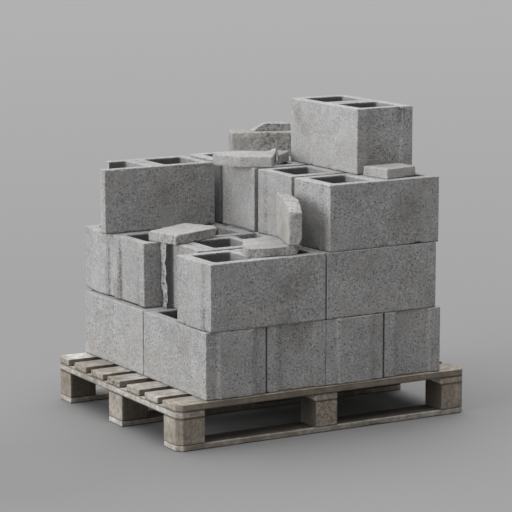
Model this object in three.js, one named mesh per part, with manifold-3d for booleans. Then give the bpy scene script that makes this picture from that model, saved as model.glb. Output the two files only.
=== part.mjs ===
import * as THREE from 'three';
import Module from 'manifold-3d';
import { ConvexGeometry } from 'three/addons/geometries/ConvexGeometry.js';
import { mergeVertices } from 'three/addons/utils/BufferGeometryUtils.js';

// A wooden pallet with hollow two-core concrete blocks stacked on it in four courses, the upper two
// unfinished, and broken pieces of block lying on top. Millimetres, +Z up. X runs along the deck
// boards, the front of the load faces -Y and the pallet stands on Z = 0 with its middle over the origin.

const wasm = await Module();
wasm.setup();

// ---- driving dimensions ------------------------------------------------------------------------
const seat = 0.3;              // clearance under every piece that rests on another

// pallet
const palletLength = 1000;     // along X
const palletWidth = 800;       // along Y
const deckThick = 20;
const stringerThick = 21;
const footHeight = 79;
const runnerThick = 17;
const deckBoards = 7;
const frontBoardWidth = 97;
const backBoardWidth = 77;
const innerBoardWidth = 81;
const boardDrift = [0, -0.08, -0.1, 0.03, -0.04, -0.05, 0];   // off its even place, in board widths
const outerStringerWidth = 88;
const middleStringerWidth = 75;
const outerRunnerWidth = 89;
const middleRunnerWidth = 87;
const cornerCut = 17;          // chamfer across the pallet's four corners

// block
const blockLength = 390;
const blockWidth = 200;
const blockHeight = 200;       // pitch of a course, seat clearance included
const shellThick = 30;         // long side walls, at the top
const endWallThick = 31;
const webThick = 66;           // wall between the two cores
const coreTaper = 3;           // how much each core wall leans out towards the bottom
const coreRound = 9;
const coreRoundSteps = 3;
const marginWidth = 34;        // plain strip down each side of an end face
const marginSlope = 12;
const tongueDepth = 6;         // how far one end's middle stands out, and the other end's lies back
const arris = 2;               // worn edge all round the block
const splitWidth = 8;          // groove across the top of the middle web
const splitDepth = 12;
const breakRough = 4;          // how far a snapped face wanders

// load: clearances the stacker left
const leftMargin = 98;         // pallet's left edge to the first block
const frontMargin = 12;
const rowJoint = 5;            // between the two rows of course 1
const columnJoints = [0, 6, 1, 7];
const setIn = 13;              // course 2 set in from course 1's left face
const overhang = 7;            // course 2's front beyond course 1's
const endJoint = 5;            // between blocks laid end to end
const tightGap = 3;
const wideGap = 23;
const brokenGap = 29;          // between the broken block and its neighbour's end
const halfBlockSlip = 75;      // how far the half block lies out of its row's line

// loose pieces
const flatThick = 26;
const thickSlab = 34;
const lumpHeight = 76;
const chipRough = 2.5;         // wander of a flat piece's broken edges

// ---- small helpers -----------------------------------------------------------------------------
const palletTop = runnerThick + footHeight + stringerThick + deckThick;
const halfLength = blockLength / 2;
const halfWidth = blockWidth / 2;
const bodyHeight = blockHeight - seat;
const stackLeft = -palletLength / 2 + leftMargin;
const stackFront = -palletWidth / 2 + frontMargin;

function noise(a, b, c) {
  const s = Math.sin(a * 127.1 + b * 311.7 + c * 74.7) * 43758.5453;
  return 2 * (s - Math.floor(s)) - 1;
}

function courseZ(course) {
  return palletTop + seat + (course - 1) * blockHeight;
}

// Closed solid through a stack of level outlines, each the same number of points counter-clockwise.
function loft(rings) {
  const count = rings[0].length;
  const positions = [];
  const indices = [];
  for (const ring of rings) {
    for (const p of ring) {
      positions.push(p[0], p[1], p[2]);
    }
  }
  for (let r = 0; r + 1 < rings.length; r += 1) {
    for (let i = 0; i < count; i += 1) {
      const a = r * count + i;
      const b = r * count + (i + 1) % count;
      indices.push(a, b, b + count, a, b + count, a + count);
    }
  }
  const cap = (r, up) => {
    const flat = rings[r].map((p) => new THREE.Vector2(p[0], p[1]));
    for (const [i, j, k] of THREE.ShapeUtils.triangulateShape(flat, [])) {
      const base = r * count;
      indices.push(base + i, base + (up ? j : k), base + (up ? k : j));
    }
  };
  cap(0, false);
  cap(rings.length - 1, true);
  const geometry = new THREE.BufferGeometry();
  geometry.setAttribute('position', new THREE.Float32BufferAttribute(positions, 3));
  geometry.setIndex(indices);
  return geometry;
}

function level(outline, z) {
  return outline.map(([x, y]) => [x, y, z]);
}

function toSolid(geometry) {
  const mesh = new wasm.Mesh({
    numProp: 3,
    vertProperties: new Float32Array(geometry.getAttribute('position').array),
    triVerts: new Uint32Array(geometry.getIndex().array),
  });
  return new wasm.Manifold(mesh);
}

function toGeometry(solid) {
  const mesh = solid.getMesh();
  const geometry = new THREE.BufferGeometry();
  geometry.setAttribute('position', new THREE.Float32BufferAttribute(mesh.vertProperties, 3));
  geometry.setIndex(Array.from(mesh.triVerts));
  return geometry;
}

// ---- the hollow block --------------------------------------------------------------------------
// Half outline of a block seen from above, round its right end: a plain margin by each long side,
// the middle standing out by depth, or lying back where depth is negative, and worn upright corners.
function endProfile(inset, depth) {
  const x = halfLength - inset;
  const y = halfWidth - inset;
  const step = halfWidth - marginWidth;
  return [
    [x - arris, -y],
    [x, -y + arris],
    [x, -step],
    [x + depth, -step + marginSlope],
    [x + depth, step - marginSlope],
    [x, step],
    [x, y - arris],
    [x - arris, y],
  ];
}

// The left end's middle stands out as a tongue, and the right end's lies back to take one.
function blockOutline(inset) {
  const rightEnd = endProfile(inset, -tongueDepth);
  const leftEnd = endProfile(inset, tongueDepth).map(([px, py]) => [-px, -py]);
  return [...rightEnd, ...leftEnd];
}

function roundedBox(cx, cy, a, b, radius, z) {
  const points = [];
  for (let corner = 0; corner < 4; corner += 1) {
    const sx = corner === 0 || corner === 3 ? 1 : -1;
    const sy = corner < 2 ? 1 : -1;
    for (let i = 0; i <= coreRoundSteps; i += 1) {
      const angle = (corner + i / coreRoundSteps) * Math.PI / 2;
      const x = cx + sx * (a / 2 - radius) + radius * Math.cos(angle);
      const y = cy + sy * (b / 2 - radius) + radius * Math.sin(angle);
      points.push([x, y, z]);
    }
  }
  return points;
}

// One core: a rounded hole right through the block, a little wider at the bottom.
function coreCutter(centreX) {
  const a = (blockLength - 2 * endWallThick - webThick) / 2;
  const b = blockWidth - 2 * shellThick;
  const over = 1;
  return loft([
    roundedBox(centreX, 0, a + 2 * coreTaper, b + 2 * coreTaper, coreRound, -over),
    roundedBox(centreX, 0, a, b, coreRound, bodyHeight + over),
  ]);
}

function splitCutter() {
  const y = halfWidth - shellThick - coreRound / 2;
  const wide = splitWidth / 2;
  const narrow = wide / 2;
  return loft([
    level([[-narrow, -y], [narrow, -y], [narrow, y], [-narrow, y]], bodyHeight - splitDepth),
    level([[-wide, -y], [wide, -y], [wide, y], [-wide, y]], bodyHeight + 1),
  ]);
}

function makeBlock() {
  const coreCentre = (webThick + halfLength - endWallThick - webThick / 2) / 2;
  const body = loft([
    level(blockOutline(arris), 0),
    level(blockOutline(0), arris),
    level(blockOutline(0), bodyHeight - arris),
    level(blockOutline(arris), bodyHeight),
  ]);
  return toSolid(body)
    .subtract(toSolid(coreCutter(coreCentre)))
    .subtract(toSolid(coreCutter(-coreCentre)))
    .subtract(toSolid(splitCutter()));
}

// ---- broken blocks -----------------------------------------------------------------------------
// Upright cutter whose sides wander from level to level, so that what it leaves looks snapped off.
function fractureCutter(plan, seed) {
  const levels = 8;
  const rings = [];
  for (let r = 0; r <= levels; r += 1) {
    const z = bodyHeight * (1.1 * r / levels - 0.05);
    rings.push(plan.map(([x, y], i) => [
      x + breakRough * noise(i, r, seed),
      y + 0.5 * breakRough * noise(i, r, seed + 0.5),
      z,
    ]));
  }
  return toSolid(loft(rings));
}

// Half a block: snapped at one face of the middle web, a stub of the rear shell still standing out.
function makeHalfBlock(whole) {
  const face = -webThick / 2;
  const clear = blockWidth / 8;
  const out = -halfLength - clear;
  const inner = halfWidth - shellThick;
  const stub = 0.7 * shellThick;
  const plan = [
    [out, -halfWidth - clear],
    [face - 0.35 * stub, -halfWidth - clear],
    [face - 0.3 * stub, -halfWidth + 0.3 * shellThick],
    [face - 0.5 * stub, -inner - 0.2 * shellThick],
    [face - 0.45 * stub, -inner + shellThick],
    [face - 0.5 * stub, inner - shellThick],
    [face - 0.9 * stub, inner - 0.1 * shellThick],
    [face - 1.1 * stub, inner + 0.3 * shellThick],
    [face - 0.9 * stub, inner + 0.6 * shellThick],
    [face - 1.15 * stub, halfWidth + clear],
    [out, halfWidth + clear],
  ];
  return whole.subtract(fractureCutter(plan, 3));
}

// A block with one end wall knocked out and the rear shell snapped shorter than the front one.
function makeBrokenEndBlock(whole) {
  const end = -halfLength;
  const clear = blockWidth / 8;
  const inner = halfWidth - shellThick;
  const lost = end + 0.5 * blockWidth;
  const plan = [
    [end - clear, -inner - 0.07 * shellThick],
    [end + 0.1 * endWallThick, -inner + 0.07 * shellThick],
    [end + 0.45 * endWallThick, -inner + 0.2 * shellThick],
    [end + 0.8 * endWallThick, -inner + 0.15 * shellThick],
    [end + 1.3 * endWallThick, -inner + 0.5 * shellThick],
    [end + 2 * endWallThick, 0],
    [lost - 0.2 * shellThick, inner - 0.4 * shellThick],
    [lost, inner + 0.2 * shellThick],
    [lost + 0.15 * shellThick, inner + 0.6 * shellThick],
    [lost - 0.05 * shellThick, halfWidth + clear],
    [end - clear, halfWidth + clear],
  ];
  return whole.subtract(fractureCutter(plan, 8));
}

// ---- loose pieces ------------------------------------------------------------------------------
// Broken piece lying down: its outline worked in and out between the two faces, and drawn in a
// little (tuck, a share of its size) where the edges are worn.
function slab(outline, thick, rough, tuck, seed) {
  const points = [];
  for (let i = 0; i < outline.length; i += 1) {
    const [ax, ay] = outline[i];
    const [bx, by] = outline[(i + 1) % outline.length];
    const parts = Math.max(1, Math.round(Math.hypot(bx - ax, by - ay) / shellThick));
    for (let k = 0; k < parts; k += 1) {
      points.push([ax + (bx - ax) * k / parts, ay + (by - ay) * k / parts]);
    }
  }
  const midX = points.reduce((sum, p) => sum + p[0], 0) / points.length;
  const midY = points.reduce((sum, p) => sum + p[1], 0) / points.length;
  const heights = [0, 0.15, 0.4, 0.75, 1];
  return loft(heights.map((h, r) => {
    const keep = 1 - tuck * (2 * h - 1) ** 4;
    return points.map(([x, y], i) => [
      midX + keep * (x - midX) + rough * noise(i, r, seed),
      midY + keep * (y - midY) + rough * noise(i, r, seed + 0.5),
      h * thick,
    ]);
  }));
}

function hull(points) {
  const geometry = new ConvexGeometry(points.map(([x, y, z]) => new THREE.Vector3(x, y, z)));
  geometry.deleteAttribute('normal');
  return mergeVertices(geometry, 1e-4);
}

// ---- pallet ------------------------------------------------------------------------------------
// Flat board between two corners; an end marked true is cut across at both its outer corners.
function board(x0, x1, y0, y1, z0, thick, cuts) {
  const c = cornerCut;
  const outline = [
    ...(cuts.frontLeft ? [[x0, y0 + c], [x0 + c, y0]] : [[x0, y0]]),
    ...(cuts.frontRight ? [[x1 - c, y0], [x1, y0 + c]] : [[x1, y0]]),
    ...(cuts.backRight ? [[x1, y1 - c], [x1 - c, y1]] : [[x1, y1]]),
    ...(cuts.backLeft ? [[x0 + c, y1], [x0, y1 - c]] : [[x0, y1]]),
  ];
  return loft([level(outline, z0), level(outline, z0 + thick)]);
}

const root = new THREE.Group();
root.name = 'concrete_block_pallet';

function add(name, geometry, colour, roughness) {
  const material = new THREE.MeshStandardMaterial({ color: colour, roughness, metalness: 0 });
  const mesh = new THREE.Mesh(geometry, material);
  mesh.name = name;
  root.add(mesh);
}

const woodGrey = 0x9b9081;
const woodDark = 0x877b6c;

function addPallet() {
  const x0 = -palletLength / 2;
  const y0 = -palletWidth / 2;
  const runnerTop = runnerThick;
  const footTop = runnerTop + footHeight;
  const stringerTop = footTop + stringerThick;
  const rows = [
    { name: 'front', y: y0, width: outerRunnerWidth, frontLeft: true, frontRight: true },
    { name: 'middle', y: -middleRunnerWidth / 2, width: middleRunnerWidth },
    { name: 'back', y: -y0 - outerRunnerWidth, width: outerRunnerWidth, backLeft: true, backRight: true },
  ];
  const columns = [
    { name: 'left', x: x0, width: outerStringerWidth, frontLeft: true, backLeft: true },
    { name: 'middle', x: -middleStringerWidth / 2, width: middleStringerWidth },
    { name: 'right', x: -x0 - outerStringerWidth, width: outerStringerWidth, frontRight: true, backRight: true },
  ];
  for (const row of rows) {
    const geometry = board(x0, -x0, row.y, row.y + row.width, 0, runnerThick, row);
    add(`runner_${row.name}`, geometry, woodDark, 0.9);
    for (const column of columns) {
      const cuts = {
        frontLeft: row.frontLeft && column.frontLeft,
        frontRight: row.frontRight && column.frontRight,
        backLeft: row.backLeft && column.backLeft,
        backRight: row.backRight && column.backRight,
      };
      const x = column.x;
      const foot = board(x, x + column.width, row.y, row.y + row.width,
        runnerTop + seat, footHeight - seat, cuts);
      add(`foot_${row.name}_${column.name}`, foot, woodDark, 0.9);
    }
  }
  for (const column of columns) {
    const geometry = board(column.x, column.x + column.width, y0, -y0,
      footTop + seat, stringerThick - seat, column);
    add(`stringer_${column.name}`, geometry, woodDark, 0.9);
  }
  const inner = deckBoards - 2;
  const gap = (palletWidth - frontBoardWidth - backBoardWidth - inner * innerBoardWidth) / (deckBoards - 1);
  let y = y0;
  for (let i = 0; i < deckBoards; i += 1) {
    const first = i === 0;
    const last = i === deckBoards - 1;
    const width = first ? frontBoardWidth : last ? backBoardWidth : innerBoardWidth;
    const cuts = { frontLeft: first, frontRight: first, backLeft: last, backRight: last };
    const front = y + boardDrift[i] * innerBoardWidth;
    const geometry = board(x0, -x0, front, front + width, stringerTop + seat, deckThick - seat, cuts);
    add(`deck_board_${i + 1}`, geometry, woodGrey, 0.9);
    y += width + gap;
  }
}

// ---- the load ----------------------------------------------------------------------------------
const concreteGrey = 0x9d9c98;
const concreteWarm = 0x969089;

// Puts a block down by its front left corner, tongue end to the left unless flipped. A quarter
// turn lays its length along Y, tongue end to the front; turn is a small angle in degrees.
function placeBlock(name, solid, course, x, y, { turn = 0, flipped = false, quarter = false } = {}) {
  const geometry = toGeometry(solid);
  geometry.rotateZ(flipped ? Math.PI : 0);
  if (quarter) {
    geometry.rotateZ(Math.PI / 2);
    geometry.translate(halfWidth, halfLength, 0);
  } else {
    geometry.translate(halfLength, halfWidth, 0);
  }
  geometry.rotateZ(turn * Math.PI / 180);
  geometry.translate(x, y, courseZ(course));
  add(name, geometry, concreteGrey, 0.95);
  return [x, y];
}

// Four across and two deep, their length along Y, every second column turned end for end.
function addCourseOne(whole) {
  const backRow = stackFront + blockLength + rowJoint;
  let x = stackLeft;
  for (let column = 0; column < columnJoints.length; column += 1) {
    const how = { flipped: column % 2 === 1, quarter: true };
    x += columnJoints[column];
    placeBlock(`course1_front_${column + 1}`, whole, 1, x, stackFront, how);
    placeBlock(`course1_back_${column + 1}`, whole, 1, x, backRow, { ...how, turn: 0.6 });
    x += blockWidth;
  }
}

// Four rows of two with their length along X; the second row's left block is the broken half.
function addCourseTwo(whole, half) {
  const left = stackLeft + setIn;
  const right = left + blockLength + endJoint;
  let y = stackFront - overhang;
  const front = placeBlock('course2_front_left', whole, 2, left, y, { turn: 0.8 });
  placeBlock('course2_front_right', whole, 2, right, y + endJoint, { turn: 0.8 });
  y += blockWidth + wideGap;
  placeBlock('course2_second_left_half', half, 2, left - halfBlockSlip, y);
  placeBlock('course2_second_right', whole, 2, right, y);
  y += blockWidth + tightGap;
  const third = placeBlock('course2_third_left', whole, 2, left + endJoint, y, { turn: 1.3, flipped: true });
  placeBlock('course2_third_right', whole, 2, right + 4 * tightGap, y + 2 * tightGap, { flipped: true });
  y += blockWidth + tightGap;
  placeBlock('course2_back_left', whole, 2, left + 2 * endJoint, y, { turn: 1 });
  placeBlock('course2_back_right', whole, 2, right + 3 * tightGap, y + 3 * tightGap);
  return { front, third };
}

// The right column is whole; on the left only the back row's broken block is still there.
function addCourseThree(whole, broken) {
  const right = stackLeft + setIn + blockLength + 3 * endJoint;
  let y = stackFront;
  const front = placeBlock('course3_front', whole, 3, right, y, { turn: 1 });
  y += blockWidth + wideGap;
  placeBlock('course3_second', whole, 3, right, y, { flipped: true });
  y += blockWidth + wideGap;
  const third = placeBlock('course3_third', whole, 3, right, y, { turn: 0.8, flipped: true });
  y += blockWidth + 2 * tightGap;
  const back = placeBlock('course3_back_right', whole, 3, right - 2 * tightGap, y);
  const left = back[0] - brokenGap - blockLength;
  placeBlock('course3_back_left_broken', broken, 3, left, y - blockWidth / 8, { turn: 1 });
  return { front, third, back };
}

// Loose pieces lie by the front left corner of a block; their outlines are in widths of a block.
function addLoosePieces(two, three) {
  const w = blockWidth;
  const at = (corner, points) => points.map(([x, y, z]) => [corner[0] + x * w, corner[1] + y * w, z * w]);
  const place = (name, geometry, z) => {
    geometry.translate(0, 0, z + seat);
    add(name, geometry, concreteWarm, 0.97);
  };
  const courseTwoTop = palletTop + 2 * blockHeight;
  const courseThreeTop = palletTop + 3 * blockHeight;

  const flatByHalf = at(two.third, [[0.35, -0.375], [0.87, -0.185], [1.235, -0.025], [1.31, 0.175],
    [1.04, 0.635], [0.195, 0.205]]);
  place('piece_flat_on_half_block', slab(flatByHalf, shellThick, chipRough, 0.01, 1), courseTwoTop);

  const flatFront = at(two.front, [[0.755, 0.28], [0.955, 0.175], [1.495, 0.11], [1.745, 0.47],
    [1.765, 0.81], [1.485, 1.09], [1.145, 1.07], [0.92, 0.675]]);
  place('piece_flat_front', slab(flatFront, flatThick, chipRough, 0.01, 2), courseTwoTop);

  const upright = at(two.front, [[1.38, 0.135, 0], [1.52, 0.085, 0], [1.865, 1.035, 0],
    [1.725, 1.085, 0], [1.57, 0.065, 0.11], [1.915, 1.015, 0.11], [1.38, 0.135, 0.5],
    [1.57, 0.065, 0.49], [1.53, 0.545, 0.65], [1.675, 0.35, 0.64], [1.725, 1.085, 0.66],
    [1.915, 1.015, 0.63]]);
  place('piece_upright', hull(upright), courseTwoTop + flatThick + seat);

  const slabThird = at(three.third, [[-0.38, 0.635], [-0.155, 0.175], [0.25, -0.125], [0.67, 0.465],
    [0.12, 0.875]]);
  place('piece_slab_on_third', slab(slabThird, thickSlab, chipRough, 0.01, 4), courseThreeTop);

  const wedge = at(three.third, [[0.495, 0.105], [0.89, 0.47], [0.96, 0.57], [0.82, 0.69],
    [0.72, 0.5]]);
  place('piece_wedge', slab(wedge, shellThick, 0.5 * chipRough, 0.01, 7), courseThreeTop);

  const lump = at(three.back, [[0.44, 0.4], [0.9, 0.14], [1.38, -0.1], [1.6, 0.3], [1.15, 0.56],
    [0.62, 0.8]]);
  place('piece_rough_back', slab(lump, lumpHeight, 2 * chipRough, 0.06, 5), courseThreeTop);

  const curved = at(three.back, [[0.83, 0.38, 0], [1.42, 0.2, 0], [1.5, 0.5, 0], [1.05, 0.56, 0],
    [0.78, 0.46, 0], [1, 0.335, 0.115], [1.42, 0.21, 0.11], [1.48, 0.48, 0.11],
    [1.12, 0.52, 0.12], [0.89, 0.415, 0.07]]);
  place('piece_curved_on_rough', hull(curved), courseThreeTop + lumpHeight + seat);

  const byTop = at(three.front, [[0.98, 0.63], [1.065, 0.11], [1.655, 0.25], [1.655, 0.69]]);
  place('piece_on_block_by_top', slab(byTop, shellThick, 0.8 * chipRough, 0.01, 8), courseThreeTop);
}

const whole = makeBlock();
addPallet();
addCourseOne(whole);
const two = addCourseTwo(whole, makeHalfBlock(whole));
const three = addCourseThree(whole, makeBrokenEndBlock(whole));
placeBlock('course4_top', whole, 4, three.front[0] + 0.928 * blockWidth, three.front[1] + 0.735 * blockWidth,
  { flipped: true, quarter: true });
addLoosePieces(two, three);

export default root;
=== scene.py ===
import itertools
import math

import bpy
import numpy as np
from mathutils import Matrix, Vector


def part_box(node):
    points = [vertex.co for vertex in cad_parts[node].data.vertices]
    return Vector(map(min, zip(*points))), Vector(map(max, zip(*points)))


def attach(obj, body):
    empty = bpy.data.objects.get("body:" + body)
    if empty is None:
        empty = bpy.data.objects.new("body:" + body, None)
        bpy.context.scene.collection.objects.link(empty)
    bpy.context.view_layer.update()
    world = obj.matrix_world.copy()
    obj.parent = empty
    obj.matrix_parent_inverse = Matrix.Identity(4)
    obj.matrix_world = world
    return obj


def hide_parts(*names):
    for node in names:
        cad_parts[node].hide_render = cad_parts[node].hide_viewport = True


# Looks for a pallet of hollow concrete blocks. Shapes are worked out in millimetres in the part's
# own frame and written as metres. Every CAD node is replaced by a worn, chipped copy of itself.

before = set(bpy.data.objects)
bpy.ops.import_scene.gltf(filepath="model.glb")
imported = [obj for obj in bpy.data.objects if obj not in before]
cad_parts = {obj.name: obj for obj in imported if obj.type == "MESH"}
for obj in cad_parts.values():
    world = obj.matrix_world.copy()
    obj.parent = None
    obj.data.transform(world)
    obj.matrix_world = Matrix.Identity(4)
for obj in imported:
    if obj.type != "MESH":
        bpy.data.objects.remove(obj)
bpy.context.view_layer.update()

# ---- measures shared with the CAD source ----
SEAT = 0.3  # clearance under a piece that rests on another
PALLET = (1000.0, 800.0)
PALLET_TOP = 137.0
CORNER_CUT = 17.0
LENGTH, WIDTH, HEIGHT = 390.0, 200.0, 199.7  # of a block
PITCH = 200.0  # of a course
SHELL, END_WALL, WEB = 30.0, 31.0, 66.0
CORE_TAPER, CORE_ROUND = 3.0, 9.0
CORE_NEAR, CORE_FAR = WEB / 2, LENGTH / 2 - END_WALL  # a core's ends, from the block's middle
MARGIN, SLOPE, TONGUE = 34.0, 12.0, 6.0  # of a block's ends
SPLIT_WIDE, SPLIT_DEEP, SPLIT_REACH = 8.0, 12.0, 65.0
FLAT_THICK, ROUGH_THICK = 26, 76  # loose pieces with another on them

METRE = 1000  # in millimetres
MM = 0.001  # in metres

IMAGE, FOCAL = 512, 2355.82  # in pixels
SENSOR = 36  # camera film, in mm
YAW, PITCH_DOWN = 0.524073, 0.168978
DISTANCE = 7.275
TARGET = (-0.00371, 0.01313, 0.46972)


# ---- camera ----
def aim(obj, place, target):
    """Puts obj at place with its own -Z towards target and its Y as upright as it can be."""
    turn = (Vector(target) - Vector(place)).to_track_quat("-Z", "Y")
    obj.matrix_world = Matrix.Translation(place) @ turn.to_matrix().to_4x4()


def link(obj):
    bpy.context.scene.collection.objects.link(obj)
    return obj


def make_camera():
    data = bpy.data.cameras.new("camera")
    data.sensor_width = SENSOR
    data.lens = FOCAL / IMAGE * SENSOR
    data.clip_end = 200
    camera = link(bpy.data.objects.new("camera", data))
    level = math.cos(PITCH_DOWN)
    ahead = Vector((math.sin(YAW) * level, math.cos(YAW) * level, -math.sin(PITCH_DOWN)))
    target = Vector(TARGET)
    aim(camera, target - ahead * DISTANCE, target)
    bpy.context.scene.camera = camera


make_camera()


# ---- numbers on arrays ----
UP = np.array([0, 0, 1.0])
ARRIS_STEPS = (1.2, 2.6, 4.6, 7.4, 11.0)  # where the mesh is finer, in mm from an arris


def lattice(p, seed):
    """Smooth noise from -1 to 1: a value hashed from each whole-number point and the seed, eased
    between."""
    cell = np.floor(p).astype(np.int64)
    f = p - cell
    f = f * f * (3 - 2 * f)
    total = np.zeros(len(p))
    for corner in np.ndindex(2, 2, 2):
        c = cell + corner
        h = c[:, 0] * 374761393 + c[:, 1] * 668265263 + c[:, 2] * 2147483629 + seed * 1013904223
        h = ((h ^ (h >> 13)) * 1274126177) & 0xFFFFFFFF
        h = (h ^ (h >> 15)) & 0xFFFF
        total += (h / 32767.5 - 1) * np.prod(np.where(corner, f, 1 - f), axis=1)
    return total


def rough(p, size, seed, octaves=2):
    """Lattice noise with features about size mm across, and finer layers each half as strong."""
    total, weight, reach = 0.0, 1.0, 0.0
    for k in range(octaves):
        total = total + weight * lattice(p * (2 ** k / size), seed + 31 * k)
        reach += weight
        weight *= 0.5
    return total / reach


def rough_vector(p, size, seed):
    return np.stack([rough(p, size, seed + 7 * axis) for axis in range(3)], axis=1)


def step_between(low, high, x):
    """0 at low, 1 at high and eased between; low may be the greater."""
    t = np.clip((x - low) / (high - low), 0, 1)
    return t * t * (3 - 2 * t)


def stations(length, coarse, start_fine=False, end_fine=False):
    """Places along a length, at most coarse apart, closing up towards an end that is an arris."""
    steps = np.array([step for step in (0.0, *ARRIS_STEPS) if step < length * 0.35])
    low = steps if start_fine else steps[:1]
    high = length - (steps[::-1] if end_fine else steps[:1])
    gap = high[0] - low[-1]
    count = max(1, int(math.ceil(gap / coarse)))
    return np.r_[low, low[-1] + gap * np.arange(1, count) / count, high]


def along(a, b, places):
    """Points from a to b at the given distances, the last one left out."""
    a, b = np.array(a, float), np.array(b, float)
    return a + (b - a) * (places[:-1, None] / places[-1])


# ---- meshes ----
def weld(points, faces, extras=()):
    """Joins points that agree to 0.001 and drops unused ones; extras are more values per point."""
    _, first, index = np.unique(np.round(points, 3), axis=0, return_index=True, return_inverse=True)
    used, faces = np.unique(index.reshape(-1)[faces], return_inverse=True)
    pick = first[used]
    return points[pick], faces.reshape(-1, 4), [values[pick] for values in extras]


def outward(points, faces):
    """Turns every face round where the closed surface's volume comes out negative."""
    a, b, c, d = (points[faces[:, k]] for k in range(4))
    volume = sum(np.einsum("ij,ij->i", a, np.cross(*pair)).sum() for pair in ((b, c), (c, d)))
    return faces if volume > 0 else faces[:, ::-1]


def make_piece(node_name, points, faces, material, marks):
    """A smooth piece in a CAD node's place, from points in mm and four-cornered faces; a face with
    a repeated corner is a triangle. marks are its attributes per point, shares from 0 to 1 but
    for tone. facing is added: how far the surface faces along Y."""
    name = node_name + "_worn"
    faces = outward(points, faces)
    lists = [[v for k, v in enumerate(f) if v != f[k - 1]] for f in faces.tolist()]
    mesh = bpy.data.meshes.new(name)
    mesh.from_pydata((points * MM).tolist(), [], [f for f in lists if len(f) > 2])
    normals = np.empty(3 * len(points), np.float32)
    mesh.vertex_normals.foreach_get("vector", normals)
    for key, values in {**marks, "facing": np.abs(normals[1::3])}.items():
        layer = mesh.attributes.new(key, "FLOAT", "POINT")
        layer.data.foreach_set("value", np.broadcast_to(values, len(points)).astype(np.float32))
    mesh.shade_smooth()
    mesh.materials.append(material)
    piece = link(bpy.data.objects.new(name, mesh))
    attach(piece, "root")
    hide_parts(node_name)


def grid_faces(m):
    """Quads between neighbours in a grid of point numbers."""
    return np.stack([m[:-1, :-1], m[:-1, 1:], m[1:, 1:], m[1:, :-1]], -1).reshape(-1, 4)


def box_skin(xs, ys, zs):
    """Surface of a box on the grid lines xs, ys, zs, with its points shared at the edges."""
    nx, ny, nz = len(xs), len(ys), len(zs)
    grid = np.stack(np.meshgrid(xs, ys, zs, indexing="ij"), axis=-1).reshape(-1, 3)
    number = np.arange(nx * ny * nz).reshape(nx, ny, nz)
    layers = [number[0], number[-1][:, ::-1], number[:, 0][:, ::-1], number[:, -1],
              number[:, :, 0], number[:, :, -1][:, ::-1]]
    faces = np.concatenate([grid_faces(layer) for layer in layers])
    used, index = np.unique(faces, return_inverse=True)
    return grid[used], index.reshape(faces.shape)


def sweep_faces(count, rows, close_path=True, close_rows=True, keep=None):
    """Quads of a profile of rows points carried past count places on a path, each of the two
    closed or open; keep says which, by place and row."""
    i, j = np.indices((count - 1 + close_path, rows - 1 + close_rows))
    if keep is not None:
        i, j = i[keep], j[keep]
    i, j = i.reshape(-1), j.reshape(-1)
    k, m = (i + 1) % count, (j + 1) % rows
    return np.stack([i * rows + j, k * rows + j, k * rows + m, i * rows + m], axis=1)


def wear_down(p, sides, edges):
    """Worn edges. Each side is (distance inside it, outward normal) at every point; each edge is
    (side, side, base, chip, thin, seed). A point nearer the edge than c, measured on both sides
    together, moves in along minus the mean normal by c less that distance, which lays it on a
    flat cut across the edge; c is base plus chip times the peaks of noise that pass thin.
    Returns the moves and how deep each point was cut."""
    move = np.zeros_like(p)
    depth = np.zeros(len(p))
    for a, b, base, chip, thin, seed in edges:
        (da, na), (db, nb) = sides[a], sides[b]
        near = np.flatnonzero(da + db < base * 1.6 + chip)
        q = p[near]
        peak = rough(q, 34, seed) * 0.6 + rough(q, 11, seed + 3) * 0.4
        c = base * (1 + 0.45 * rough(q, 7, seed + 5)) + chip * np.clip((peak - thin) * 4.5, 0, 1)
        cut = np.clip(c - (da + db)[near], 0, None)
        mean = (np.broadcast_to(na, p.shape)[near] + np.broadcast_to(nb, p.shape)[near]) / 2
        move[near] -= mean * cut[:, None]
        depth[near] += cut
    return move, depth


# ---- the hollow block ----
# places across half a block's middle line, closing up over the shell
LINE = [100, 98.8, 97.4, 95.4, 92.6, 89, 84, 77, 71, 66.5, 63, 57, 50, 43, 36, 29, 22, 14.5, 7]
# shares of the way across a wall's top, and down its core side and back along its base where
# those rows may be fewer
TOP_ROWS = [0, .06, .12, .165, .24, .36, .5, .66, .79, .89, .955, 1]
CORE_ROWS = [1, .993, .983, .965, .93, .86, .7, .5, .3, .14, .06, .02, 0]
BASE_ROWS = [1, .93, .5, .07, 0]
TOP, BOTTOM, END, SIDE, CORE = range(5)  # a block's sides, for wearing its edges
SIDE_GAP = 6.5  # between places along a block's sides
RISE_GAP = 12.5  # between rows up its outside


def tongue(y):
    """How much of an end's tongue or groove there is at y: all of it between the slopes."""
    return 1 - step_between(WIDTH / 2 - MARGIN - SLOPE, WIDTH / 2 - MARGIN, np.abs(y))


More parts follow.
